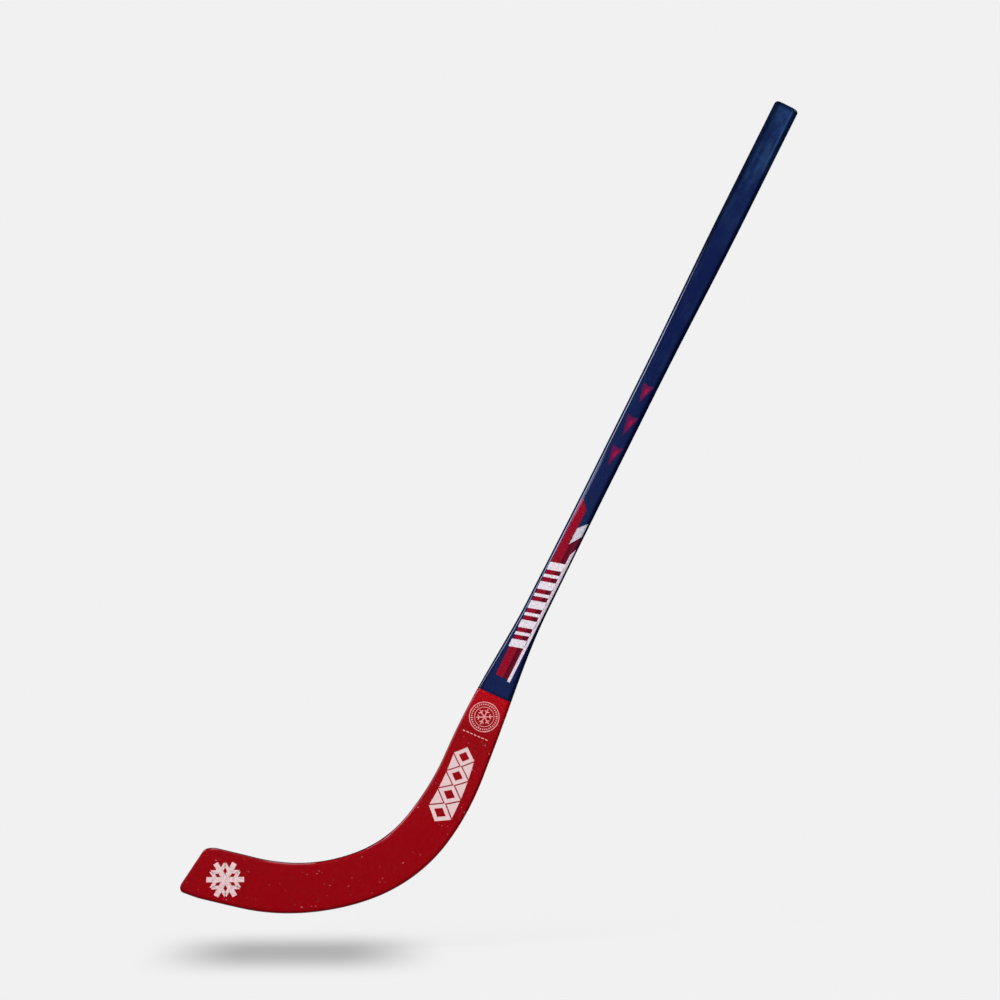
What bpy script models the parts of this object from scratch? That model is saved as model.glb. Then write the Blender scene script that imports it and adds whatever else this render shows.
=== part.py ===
"""A bandy stick: a laminated wooden shaft, a blade of bent plies, and the skins over both.

X runs from the toe towards the butt, Z is up and Y goes through the thickness, with the front at -Y.
The origin is in the middle of the grip. Lengths are in metres and angles in degrees.
"""

import math
from collections import namedtuple

import bmesh
import bpy
from mathutils import Vector

# The spine, the line down the middle of the stick, from the butt to the toe
SHAFT_LEAN = 26.54  # from the vertical
GRIP_CENTRE = 0.080  # from the butt end to the origin
STRAIGHT_LENGTH = 0.6315
SET_BACK_RADIUS = 2.315  # the shaft leans back a little before the heel
SET_BACK_TURN = 4.14
HEEL_RADIUS = 0.292
HEEL_TURN = 15.3
BEND_RADIUS = 0.155
BEND_TURN = 31.5
BLADE_RADIUS = 0.2185
BLADE_TURN = 34.2
TOE_RUN = 0.0626
TOE_RAKE = 20.3  # of the toe's end from square

# Widths across the stick, as the front shows them, and where each goes over into the next
GRIP_WIDTH = 0.0273
SHAFT_WIDTH = 0.0230
NECK_WIDTH = 0.0253
HEEL_WIDTH = 0.0461
BLADE_WIDTH = 0.0528
TOE_WIDTH = 0.0570
GRIP_LENGTH = 0.1315
GRIP_TAPER = 0.212
NECK_ABOVE_HEEL = 0.338
NECK_TAPER = 0.200
FLARE_ABOVE_HEEL = 0.194
FLARE_LENGTH = 0.177
SWELL_ABOVE_HEEL = 0.050
SWELL_LENGTH = 0.142
TOE_SWELL_BEFORE_TOE = 0.161
TOE_SWELL_LENGTH = 0.120

# Thickness, front to back: even down to the heel, then planed to a wedge
SHAFT_DEPTH = 0.0220
TOE_DEPTH = 0.0150

# Edges: a flat bevel with softened corners on the shaft, nearly round on the blade
SHAFT_BEVEL = 0.0033
SHAFT_SOFTENING = 0.0014
BLADE_BEVEL = 0.0008
BLADE_SOFTENING = 0.0020
BEVEL_FADE_ABOVE_HEEL = 0.150
BEVEL_FADE = 0.110
BUTT_ROUNDING = 0.0042
TOE_ROUNDING = 0.0020
TOE_CORNER_BACK = 0.012  # the upper corner's round, back along the blade
TOE_CORNER_DOWN = 0.007
TIP_BACK = 0.008  # the same for the lower corner
TIP_UP = 0.0105
TIP_LIFT = 0.0024  # the sole's rise towards the tip
TIP_LIFT_LENGTH = 0.028

# Build
SKIN = 0.0006
LAMINATE = 0.0008
GLUE = 0.0003
COLOUR_LINE_ABOVE_HEEL = 0.085  # where the sock ends and the shaft's skin begins
STRIP = 0.0050
SPLICE_ABOVE_HEEL = 0.205
SPLICE_LENGTH = 0.180
SPLICE_TIP = 0.0020
PLY = 0.0045
PATCH_MARGIN = 0.0015
PATCH_TOE_GAP = 0.010

FEATHER = 0.0003  # the thin end of a ply or a strip along the splice
SHARPEST = 0.0001  # the smallest corner that a piece may keep
MERGE = 0.000001

# Colour, roughness and coat
BLUE_LACQUER = ((0.010, 0.022, 0.086), 0.25, 0.6)
RED_LACQUER = ((0.385, 0.001, 0.006), 0.25, 0.6)
ASPEN = ((0.72, 0.56, 0.36), 0.70, 0.0)
ASH = ((0.56, 0.38, 0.20), 0.65, 0.0)
PALE_ASH = ((0.60, 0.42, 0.24), 0.65, 0.0)
GLASS_LAMINATE = ((0.62, 0.66, 0.58), 0.40, 0.0)
GLASS_CLOTH = ((0.70, 0.72, 0.64), 0.50, 0.0)
SHARP_ANGLE = 30

# Facets
SHAFT_STEP = 0.045
FLARE_STEP = 0.018
BEND_STEP = 0.012
END_STEPS = 7

ARCS = (
    (SET_BACK_RADIUS, -SET_BACK_TURN),
    (HEEL_RADIUS, HEEL_TURN),
    (BEND_RADIUS, BEND_TURN),
    (BLADE_RADIUS, BLADE_TURN),
)
# Length and turn of each run, a positive turn closing the hook
RUNS = (
    (STRAIGHT_LENGTH, 0.0),
    *((radius * math.radians(abs(turn)), math.radians(turn)) for radius, turn in ARCS),
    (math.inf, 0.0),
)
HEEL = RUNS[0][0] + RUNS[1][0]
TOE = sum(length for length, turn in RUNS[:-1]) + TOE_RUN
COLOUR_LINE = HEEL - COLOUR_LINE_ABOVE_HEEL
SPLICE = HEEL - SPLICE_ABOVE_HEEL
SPLICE_END = SPLICE + SPLICE_LENGTH
JOINT = (SPLICE + SPLICE_END) / 2  # where the faces' glass goes over from shaft to blade
BACKING = SKIN + GLUE  # from the outer surface to what the skin covers
FACING = LAMINATE + GLUE
BLANK_DEPTH = 2 * SHAFT_DEPTH  # a blank is deeper and longer than the wood it is trimmed to
BLANK_OVERRUN = TOE_WIDTH
# Stretches of the spine, each with the longest step between its cross-sections
STRETCHES = (
    (0.0, GRIP_LENGTH, SHAFT_STEP),
    (GRIP_LENGTH, GRIP_LENGTH + GRIP_TAPER, SHAFT_STEP),
    (GRIP_LENGTH + GRIP_TAPER, HEEL - FLARE_ABOVE_HEEL, SHAFT_STEP),
    (HEEL - FLARE_ABOVE_HEEL, HEEL, FLARE_STEP),
    (HEEL, TOE - TOE_RUN, BEND_STEP),
    (TOE - TOE_RUN, TOE, FLARE_STEP),
)
WIDTHS = (
    (SHAFT_WIDTH - GRIP_WIDTH, GRIP_LENGTH, GRIP_TAPER),
    (NECK_WIDTH - SHAFT_WIDTH, HEEL - NECK_ABOVE_HEEL, NECK_TAPER),
    (HEEL_WIDTH - NECK_WIDTH, HEEL - FLARE_ABOVE_HEEL, FLARE_LENGTH),
    (BLADE_WIDTH - HEEL_WIDTH, HEEL - SWELL_ABOVE_HEEL, SWELL_LENGTH),
    (TOE_WIDTH - BLADE_WIDTH, TOE - TOE_SWELL_BEFORE_TOE, TOE_SWELL_LENGTH),
)

# A cross-section's place on the spine, its slant, and how far its sides and faces are drawn in there
Station = namedtuple("Station", "place rake inner outer faces", defaults=(0.0, 0.0, 0.0, 0.0))


def ease(share):
    """0 to 1, level at both ends."""
    share = min(max(share, 0.0), 1.0)
    return share * share * (3 - 2 * share)


def spine(distance, at_grip=True):
    """Point and heading of the spine, this far from the butt."""
    point = Vector((0.0, 0.0))
    heading = math.radians(-90 - SHAFT_LEAN)
    for length, turn in RUNS:
        step = min(distance, length)
        bend = turn * step / length
        chord = step * (math.sin(bend / 2) / (bend / 2) if bend else 1.0)
        middle = heading - bend / 2
        point += chord * Vector((math.cos(middle), math.sin(middle)))
        heading -= bend
        distance -= step
    if at_grip:
        point -= spine(GRIP_CENTRE, at_grip=False)[0]
    return point, heading


def plan(distance, across):
    """A point beside the spine, positive across towards the outside of the bend."""
    point, heading = spine(distance)
    return point + across * Vector((-math.sin(heading), math.cos(heading)))


def half_width(distance):
    growth = sum(change * ease((distance - start) / length) for change, start, length in WIDTHS)
    return (GRIP_WIDTH + growth) / 2


def half_depth(point):
    """Half the thickness, at a point of the plan."""
    crease = spine(HEEL)[0]
    chord = spine(TOE)[0] - crease
    past = max((point - crease).dot(chord.normalized()), 0.0)
    return (SHAFT_DEPTH - (SHAFT_DEPTH - TOE_DEPTH) * past / chord.length) / 2


def edge(distance, inset):
    """Bevel and softening of the long edges, on a surface this far inside the outer one."""
    fade = ease((distance - HEEL + BEVEL_FADE_ABOVE_HEEL) / BEVEL_FADE)
    bevel = SHAFT_BEVEL + (BLADE_BEVEL - SHAFT_BEVEL) * fade
    softening = SHAFT_SOFTENING + (BLADE_SOFTENING - SHAFT_SOFTENING) * fade
    return bevel, max(softening - inset, SHARPEST)


def drawn_in(distance, back, across):
    """How far a corner rounded by an ellipse is drawn in, this far from the end."""
    left = min(max(1 - distance / back, 0.0), 1.0)
    return across * (1 - math.sqrt(1 - left * left))


def closing(reach):
    """Distances from an end, out to reach, closer together near the end."""
    return [reach * (1 - math.cos(math.radians(90 * step / END_STEPS))) for step in range(END_STEPS + 1)]


def butt_stations(inset):
    rounding = BUTT_ROUNDING - inset
    for gap in closing(rounding):
        drawn = drawn_in(gap, rounding, rounding)
        yield Station(inset + gap, 0.0, drawn, drawn, drawn)


def toe_stations(inset):
    slant = math.radians(TOE_RAKE)
    rounds = max(TOE_CORNER_BACK, TIP_BACK, TOE_ROUNDING) - inset
    gaps = {*closing(rounds), *between(rounds, max(TIP_LIFT_LENGTH, rounds), BEND_STEP)}
    for gap in sorted(gaps, reverse=True):
        lift = TIP_LIFT * ease(1 - gap / TIP_LIFT_LENGTH)
        yield Station(
            TOE - (inset + gap) / math.cos(slant),
            slant,
            drawn_in(gap, TOE_CORNER_BACK - inset, TOE_CORNER_DOWN - inset),
            drawn_in(gap, TIP_BACK - inset, TIP_UP - inset) + lift,
            drawn_in(gap, TOE_ROUNDING - inset, TOE_ROUNDING - inset),
        )


def between(start, end, step):
    """Places from start to end, both included, at most a step apart."""
    count = max(math.ceil((end - start - MERGE) / step), 1)
    return [start + (end - start) * i / count for i in range(count + 1)]


def long_places(start, end):
    """Start, end and the cross-sections' places between them, none too close to either."""
    apart = BEND_STEP / 3
    found = {place for stretch in STRETCHES for place in between(*stretch)}
    return [start, *(place for place in sorted(found) if start + apart < place < end - apart), end]


def toe_slant(place):
    """The slant of a cross-section, growing from square to the toe's own along the toe run."""
    return math.radians(TOE_RAKE) * ease((place - TOE + TOE_RUN) / TOE_RUN)


def section(station, inset, facing=0.0):
    """A closed ring round the stick, this far inside its outer surface.

    With a facing the faces lie that much deeper and the corners are plain chamfers.
    """
    reaches = {}
    for side, drawn in ((1, station.outer), (-1, station.inner)):
        reach = half_width(station.place) - inset - drawn * math.cos(station.rake)
        reaches[side] = min(reach, half_width(station.place + side * reach * math.tan(station.rake)) - inset)
    bevel, softening = edge(station.place, inset)
    curl = softening * (1 - math.cos(math.radians(45)))
    corner = [(0.0, bevel + softening), (curl, bevel + curl), (bevel + curl, curl), (bevel + softening, 0.0)]
    if facing:
        chamfer = max(bevel + 2 * curl - facing, SHARPEST)
        corner = [(0.0, chamfer), (chamfer, 0.0)]
    ring = []
    for side, face in ((1, 1), (-1, 1), (-1, -1), (1, -1)):
        for inwards, down in corner[:: side * face]:
            across = side * (reaches[side] - inwards)
            place = station.place + across * math.tan(station.rake)
            point = plan(place, across)
            depth = half_depth(point) - station.faces - inset - facing - down
            ring.append((point.x, face * depth, point.y))
    return ring


def stations(start=None, end=None, inset=0.0):
    """The cross-sections from start to end, the rounded butt or toe where either is left out."""
    first = list(butt_stations(inset)) if start is None else [Station(start)]
    last = list(toe_stations(inset)) if end is None else [Station(end)]
    middle = long_places(first[-1].place, last[0].place)[1:-1]
    return [*first, *(Station(place, toe_slant(place)) for place in middle), *last]


def new_object(name, mesh, collection):
    made = bpy.data.objects.new(name, mesh)
    collection.objects.link(made)
    return made


def loft(name, rings, collection, closed=True, caps=(True, True)):
    """A mesh through rings of points, each joined to the next."""
    bm = bmesh.new()
    loops = [[bm.verts.new(point) for point in ring] for ring in rings]
    for near, far in zip(loops, loops[1:]):
        for i in range(0 if closed else 1, len(near)):
            bm.faces.new((near[i], near[i - 1], far[i - 1], far[i]))
    for cap, loop in zip(caps, (loops[0], loops[-1][::-1])):
        if closed and cap:
            bm.faces.new(loop)
    mesh = bpy.data.meshes.new(name)
    bm.to_mesh(mesh)
    bm.free()
    return new_object(name, mesh, collection)


def slab(name, outline, thickness, middle, collection):
    """A flat outline in the plan, this thick from front to back, with its middle this far behind the spine."""
    curve = bpy.data.curves.new(name, "CURVE")
    curve.dimensions = "2D"
    curve.fill_mode = "BOTH"
    curve.extrude = thickness / 2
    spline = curve.splines.new("POLY")
    spline.points.add(len(outline) - 1)
    for point, place in zip(spline.points, outline):
        point.co = (place.x, place.y, 0.0, 1.0)
    spline.use_cyclic_u = True
    drawn = new_object(name + "_outline", curve, collection)
    drawn.rotation_euler.x = math.radians(90)
    drawn.location.y = middle
    bpy.context.view_layer.update()
    graph = bpy.context.evaluated_depsgraph_get()
    mesh = bpy.data.meshes.new_from_object(drawn.evaluated_get(graph))
    mesh.name = name
    bm = bmesh.new()
    bm.from_mesh(mesh)
    bmesh.ops.remove_doubles(bm, verts=bm.verts, dist=MERGE)
    bmesh.ops.recalc_face_normals(bm, faces=bm.faces)
    bm.to_mesh(mesh)
    bm.free()
    solid = new_object(name, mesh, collection)
    solid.matrix_world = drawn.matrix_world.copy()
    bpy.data.objects.remove(drawn)
    return solid


def band(name, places, low, high, thickness, middle, collection):
    """A slab between two lines that run beside the spine, each a distance or a function of the place."""
    lows = [plan(place, low(place) if callable(low) else low) for place in places]
    highs = [plan(place, high(place) if callable(high) else high) for place in places]
    return slab(name, [*lows, *reversed(highs)], thickness, middle, collection)


def trim(blank, envelope):
    boolean = blank.modifiers.new("trim", "BOOLEAN")
    boolean.operation = "INTERSECT"
    boolean.solver = "EXACT"
    boolean.object = envelope


def material(name, colour, roughness, coat):
    made = bpy.data.materials.new(name)
    made.use_nodes = True
    shader = made.node_tree.nodes["Principled BSDF"]
    shader.inputs["Base Color"].default_value = (*colour, 1.0)
    shader.inputs["Roughness"].default_value = roughness
    shader.inputs["Metallic"].default_value = 0.0
    shader.inputs["Coat Weight"].default_value = coat
    return made


def finish(made, look):
    made.data.materials.append(material(made.name, *look))
    made.data.shade_smooth()
    made.data.set_sharp_from_angle(angle=math.radians(SHARP_ANGLE))


def skin(name, rings, caps, look, collection):
    """A thin shell: the outer surface, thickened inwards."""
    shell = loft(name, rings, collection, caps=caps)
    wall = shell.modifiers.new("wall", "SOLIDIFY")
    wall.thickness = SKIN
    wall.offset = -1.0
    wall.use_even_offset = True
    finish(shell, look)


def skins(parts):
    shaft = stations(end=COLOUR_LINE - GLUE / 2)
    blade = stations(start=COLOUR_LINE + GLUE / 2)
    skin("shaft_skin", [section(s, 0.0) for s in shaft], (True, False), BLUE_LACQUER, parts)
    skin("blade_sock", [section(s, 0.0) for s in blade], (False, True), RED_LACQUER, parts)


def flank(place):
    """Half the width of the splice's wedge, full at the top of the splice and nearly nothing at its end."""
    full = half_width(SPLICE)
    return full + (SPLICE_TIP / 2 - full) * (place - SPLICE) / SPLICE_LENGTH


def flank_place(across):
    """Where the wedge is this wide to one side."""
    full = half_width(SPLICE)
    return SPLICE + SPLICE_LENGTH * (full - across) / (full - SPLICE_TIP / 2)


def core_half(place):
    return half_width(place) - BACKING - STRIP - GLUE


def shaft_wood(parts, envelope):
    """The core with its wedge, and the ash strips on its two narrow sides."""
    shoulder = flank_place(core_half(SPLICE) + GLUE / 2)

    def core_side(place):
        return min(core_half(min(place, SPLICE)), flank(place) - GLUE / 2)

    places = long_places(-BLANK_OVERRUN, SPLICE)[:-1] + between(SPLICE, shoulder, FLARE_STEP)[:-1]
    places += between(shoulder, SPLICE_END, FLARE_STEP)
    core = band("shaft_core", places, lambda s: -core_side(s), core_side, BLANK_DEPTH, 0.0, parts)
    trim(core, envelope)
    finish(core, ASPEN)

    top = flank_place(GRIP_WIDTH)
    end = flank_place(core_half(SPLICE) + GLUE * 1.5 + FEATHER)

    def strip_inside(place):
        return core_half(min(place, SPLICE)) + GLUE

    def strip_outside(place):
        return min(GRIP_WIDTH, flank(place) - GLUE / 2)

    places = long_places(-BLANK_OVERRUN, top)[:-1] + between(top, SPLICE, FLARE_STEP)[:-1]
    places += between(SPLICE, end, FLARE_STEP)
    for side, sign in (("outer", 1), ("inner", -1)):
        strip = band(
            f"shaft_strip_{side}",
            places,
            lambda s, sign=sign: sign * strip_inside(s),
            lambda s, sign=sign: sign * strip_outside(s),
            BLANK_DEPTH,
            0.0,
            parts,
        )
        trim(strip, envelope)
        finish(strip, ASH)


def blade_plies(parts, envelope):
    """Plies bent side by side round the heel, numbered from the inside of the bend."""
    pitch = PLY + GLUE
    widest = max(HEEL_WIDTH, BLADE_WIDTH, TOE_WIDTH) / 2 - BACKING
    each_side = math.ceil(widest / pitch)
    for number in range(2 * each_side):
        row = number - each_side
        sign = 1 if row >= 0 else -1
        near = pitch * (row if row >= 0 else -row - 1) + GLUE / 2
        far = near + PLY

        def inside(place, near=near):
            return max(near, flank(place) + GLUE / 2)

        start = flank_place(far - GLUE / 2 - FEATHER)
        corner = flank_place(near - GLUE / 2)
        places = between(start, corner, FLARE_STEP)[:-1] + long_places(corner, TOE + BLANK_OVERRUN)
        ply = band(
            f"blade_ply_{number + 1:02d}",
            places,
            lambda s, sign=sign: sign * inside(s),
            lambda s, sign=sign, far=far: sign * far,
            BLANK_DEPTH,
            0.0,
            parts,
        )
        trim(ply, envelope)
        finish(ply, PALE_ASH if number % 2 else ASH)


def face_half(place):
    """Half the width of the flat between the bevels."""
    bevel, softening = edge(place, 0.0)
    return half_width(place) - bevel - softening


def facings(parts):
    """The glass on the faces of the wood: laminates down the shaft, then patches over the blade."""
    places = long_places(BUTT_ROUNDING, JOINT - GLUE / 2)
    for side, sign in (("front", -1), ("back", 1)):
        middle = sign * (SHAFT_DEPTH / 2 - BACKING - LAMINATE / 2)
        laminate = band(
            f"shaft_laminate_{side}",
            places,
            lambda s: -face_half(s),
            face_half,
            LAMINATE,
            middle,
            parts,
        )
        finish(laminate, GLASS_LAMINATE)

        rails = []
        end = TOE - PATCH_TOE_GAP / math.cos(math.radians(TOE_RAKE))
        for place in long_places(JOINT + GLUE / 2, end):
            slant = math.tan(toe_slant(place) if place < end else math.radians(TOE_RAKE))
            rail = []
            for across in (sign, -sign):
                reach = across * (face_half(place) - PATCH_MARGIN)
                point = plan(place + reach * slant, reach)
                rail.append((point.x, sign * (half_depth(point) - BACKING), point.y))
            rails.append(rail)
        patch = loft(f"blade_patch_{side}", rails, parts, closed=False)
        cloth = patch.modifiers.new("cloth", "SOLIDIFY")
        cloth.thickness = LAMINATE
        cloth.offset = -1.0
        finish(patch, GLASS_CLOTH)


def main():
    for old in list(bpy.data.objects):
        bpy.data.objects.remove(old)
    parts = bpy.data.collections.new("bandy_stick")
    cutters = bpy.data.collections.new("bandy_stick_cutters")
    for collection in (parts, cutters):
        bpy.context.scene.collection.children.link(collection)

    inside = [section(s, BACKING, FACING) for s in stations(inset=BACKING)]
    envelope = loft("wood_envelope", inside, cutters)
    envelope.hide_render = True
    envelope.display_type = "WIRE"

    shaft_wood(parts, envelope)
    blade_plies(parts, envelope)
    facings(parts)
    skins(parts)


main()
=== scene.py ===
import math

import bmesh
import bpy
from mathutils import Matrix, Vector
from mathutils.bvhtree import BVHTree


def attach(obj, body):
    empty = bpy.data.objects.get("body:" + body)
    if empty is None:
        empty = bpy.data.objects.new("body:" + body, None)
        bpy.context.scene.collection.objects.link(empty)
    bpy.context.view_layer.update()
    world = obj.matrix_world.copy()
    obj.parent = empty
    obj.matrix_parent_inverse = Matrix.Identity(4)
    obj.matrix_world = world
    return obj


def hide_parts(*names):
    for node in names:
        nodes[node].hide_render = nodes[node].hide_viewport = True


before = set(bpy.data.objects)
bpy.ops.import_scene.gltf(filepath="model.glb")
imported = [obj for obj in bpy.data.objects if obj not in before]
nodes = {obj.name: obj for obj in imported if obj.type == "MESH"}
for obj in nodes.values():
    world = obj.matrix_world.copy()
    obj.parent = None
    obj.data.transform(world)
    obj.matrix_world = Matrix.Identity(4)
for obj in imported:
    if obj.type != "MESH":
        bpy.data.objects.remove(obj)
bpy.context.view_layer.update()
scene = bpy.context.scene
print("frame loaded,", len(nodes), "nodes")

# Lengths are in metres and angles in degrees, in the frame of the CAD

# The line down the middle of the stick, from the butt to the toe
line = {
    "lean": 26.54,  # of the shaft, from the vertical
    "gripCentre": 0.080,  # from the butt to the origin
    "straight": 0.6315,
    "arcs": ((2.315, -4.14), (0.292, 15.3), (0.155, 31.5), (0.2185, 34.2)),  # radius and turn
    "toeRun": 0.0626,
}
runs = [(line["straight"], 0.0)]
runs += [(radius * math.radians(abs(turn)), math.radians(turn)) for radius, turn in line["arcs"]]
heel = runs[0][0] + runs[1][0]
toe = sum(length for length, turn in runs) + line["toeRun"]
runs.append((math.inf, 0.0))

# Widths as the front shows them: where a change starts, how long it takes, and how much it adds
widths = {
    "grip": 0.0273,
    "changes": (
        (0.1315, 0.212, 0.0230 - 0.0273),
        (heel - 0.338, 0.200, 0.0253 - 0.0230),
        (heel - 0.194, 0.177, 0.0461 - 0.0253),
        (heel - 0.050, 0.142, 0.0528 - 0.0461),
        (toe - 0.161, 0.120, 0.0570 - 0.0528),
    ),
}

# Thickness, the long edges and the two ends
body = {
    "shaftDepth": 0.0220,
    "toeDepth": 0.0150,
    "shaftEdge": (0.0033, 0.0014),  # bevel and softening
    "bladeEdge": (0.0008, 0.0020),
    "bevelCrown": 0.055,  # how far the planed bevel bulges, as a share of its width
    "edgeFade": (0.150, 0.110),  # start above the heel, and length
    "buttRounding": 0.0042,
    "toeRounding": 0.0020,
    "toeRake": 20.3,
    "toeCorner": (0.012, 0.007),  # back along the blade, and down
    "tip": (0.008, 0.0105),
    "tipLift": (0.0024, 0.028),  # height and length
    "skin": 0.0006,
    "colourLine": heel - 0.085,
    "seam": 0.00003,  # between the two skins
}

# How finely the skins are cut
fineness = {
    "straight": 0.010,
    "bend": 0.0035,
    "bendLead": 0.2,  # above the heel, where the finer steps start
    "slack": 0.001,  # of a step, so that rounding adds no step
    "ends": 14,
    "toe": 6,
    "least": 0.00004,
    "corner": 3,
    "bevel": (0.1, 0.28, 0.5, 0.72, 0.9),
    "face": (0.0, 0.2, 0.4, 0.6, 0.78, 0.92, 0.985, 1.0),  # shares of the flat's half width
    "side": (0.0, 0.45, 0.85, 0.98, 1.0),
}


def ease(share):
    share = min(max(share, 0.0), 1.0)
    return share * share * (3 - 2 * share)


def spine(distance, atGrip=True):
    point = Vector((0.0, 0.0))
    heading = math.radians(-90 - line["lean"])
    for length, turn in runs:
        step = min(distance, length)
        bend = turn * step / length
        chord = step * (math.sin(bend / 2) / (bend / 2) if bend else 1.0)
        point += chord * Vector((math.cos(heading - bend / 2), math.sin(heading - bend / 2)))
        heading -= bend
        distance -= step
    if atGrip:
        point -= spine(line["gripCentre"], atGrip=False)[0]
    return point, heading


def plan(distance, across):  # positive across is the outside of the bend
    point, heading = spine(distance)
    return point + across * Vector((-math.sin(heading), math.cos(heading)))


def halfWidth(distance):
    grown = 0
    for start, length, change in widths["changes"]:
        grown += change * ease((distance - start) / length)
    return (widths["grip"] + grown) / 2


crease = spine(heel)[0]
bladeChord = spine(toe)[0] - crease


def halfDepth(point):
    past = max((point - crease).dot(bladeChord.normalized()), 0.0)
    thinned = (body["shaftDepth"] - body["toeDepth"]) * past / bladeChord.length
    return (body["shaftDepth"] - thinned) / 2


def longEdge(distance):
    above, length = body["edgeFade"]
    fade = ease((distance - heel + above) / length)
    return [a + (b - a) * fade for a, b in zip(body["shaftEdge"], body["bladeEdge"])]


def drawnIn(distance, back, across):  # a corner rounded by an ellipse
    left = min(max(1 - distance / back, 0.0), 1.0)
    return across * (1 - math.sqrt(1 - left * left))


def spaced(start, end, step):
    count = max(math.ceil((end - start) / step - fineness["slack"]), 1)
    return [start + (end - start) * i / count for i in range(count + 1)]


def closing(reach, steps):  # distances from an end, closer together near it
    return [reach * (1 - math.cos(math.radians(90 * i / steps))) for i in range(steps + 1)]


def cornerArc(bevel, softening):  # in from the side, and down from the face
    reach = bevel + softening
    steps = [math.radians(45 * i / fineness["corner"]) for i in range(fineness["corner"] + 1)]
    arc = [(softening * (1 - math.cos(turn)), reach - softening * math.sin(turn)) for turn in steps]
    (inFirst, downFirst), (inLast, downLast) = arc[-1], arc[-1][::-1]
    crowned = []
    for share in fineness["bevel"]:
        rise = body["bevelCrown"] * (inLast - inFirst) * 4 * share * (1 - share)
        inward = inFirst + (inLast - inFirst) * share - rise
        crowned.append((inward, downFirst + (downLast - downFirst) * share - rise))
    return arc + crowned + [(down, inward) for inward, down in reversed(arc)]


def crossSection(place, rake=0.0, inner=0.0, outer=0.0, faces=0.0):
    slant = math.tan(rake)
    reach = {}
    for side, drawn in ((1, outer), (-1, inner)):
        wide = halfWidth(place) - drawn * math.cos(rake)
        reach[side] = min(wide, halfWidth(place + side * wide * slant))
    bevel, softening = longEdge(place)
    rim = bevel + softening
    spots = []  # side, how far in from it, how far below the face, and the share of the half depth

    def face(side, sign, shares):
        for share in shares:
            spots.append((side, reach[side] - share * (reach[side] - rim), 0.0, sign))

    def corner(side, sign, arc):
        spots.extend((side, inward, down, sign) for inward, down in arc)

    def flank(side, shares):
        spots.extend((side, 0.0, rim, share) for share in shares)

    arc = cornerArc(bevel, softening)
    out, back = fineness["face"][:-1], fineness["face"][-2::-1]
    sides = [-share for share in fineness["side"][-2:0:-1]] + list(fineness["side"][:-1])
    face(1, 1, out)
    corner(1, 1, arc[::-1])
    flank(1, sides[::-1])
    corner(1, -1, arc)
    face(1, -1, back)
    face(-1, -1, out[1:])
    corner(-1, -1, arc[::-1])
    flank(-1, sides)
    corner(-1, 1, arc)
    face(-1, 1, back)
    ring = []
    for side, inward, down, share in spots:
        across = side * (reach[side] - inward)
        point = plan(place + across * slant, across)
        depth = halfDepth(point) - faces
        position = Vector((point.x, share * (depth - down), point.y))
        ring.append((position, place + across * slant, (side, inward)))
    return ring


def buttRings():
    rounding = body["buttRounding"]
    for gap in closing(rounding, fineness["ends"]):
        drawn = drawnIn(gap, rounding, rounding)
        yield crossSection(gap, 0.0, drawn, drawn, drawn)


def toeRings():
    rake = math.radians(body["toeRake"])
    rounds = max(body["toeCorner"][0], body["tip"][0])
    lift, liftLength = body["tipLift"]
    gaps = closing(rounds, fineness["ends"]) + closing(body["toeRounding"], fineness["toe"])
    gaps = sorted(gaps + spaced(rounds, liftLength, fineness["bend"]))
    gaps = [gap for gap, before in zip(gaps, [-1.0, *gaps]) if gap - before > fineness["least"]]
    for gap in reversed(gaps):
        yield crossSection(
            toe - gap / math.cos(rake),
            rake,
            drawnIn(gap, *body["toeCorner"]),
            drawnIn(gap, *body["tip"]) + lift * ease(1 - gap / liftLength),
            drawnIn(gap, body["toeRounding"], body["toeRounding"]),
        )


def toeSlant(place):  # square at the bend's end, the toe's own where its rings start
    rake = math.radians(body["toeRake"])
    run = line["toeRun"] - body["tipLift"][1] / math.cos(rake)
    return rake * ease((place - toe + line["toeRun"]) / run)


def placesBetween(start, end):
    lead = heel - fineness["bendLead"]
    places = spaced(start, min(end, lead), fineness["straight"]) if start < lead else [start]
    if end > places[-1]:
        places += spaced(places[-1], end, fineness["bend"])[1:]
    return places


class Signal:  # a socket in an expression: each operator adds a Math node
    def __init__(self, graph, socket):
        self.graph, self.socket = graph, socket

    def maths(self, operation, *values):
        return self.graph.node("Math", {"operation": operation}, dict(enumerate(values)))

    def __add__(self, other):
        return self.maths("ADD", self, other)

    def __sub__(self, other):
        return self.maths("SUBTRACT", self, other)

    def __rsub__(self, other):
        return self.maths("SUBTRACT", other, self)

    def __mul__(self, other):
        return self.maths("MULTIPLY", self, other)

    __radd__ = __add__
    __rmul__ = __mul__

    def size(self):
        return self.maths("ABSOLUTE", self)

    def larger(self, other):
        return self.maths("MAXIMUM", self, other)


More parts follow.
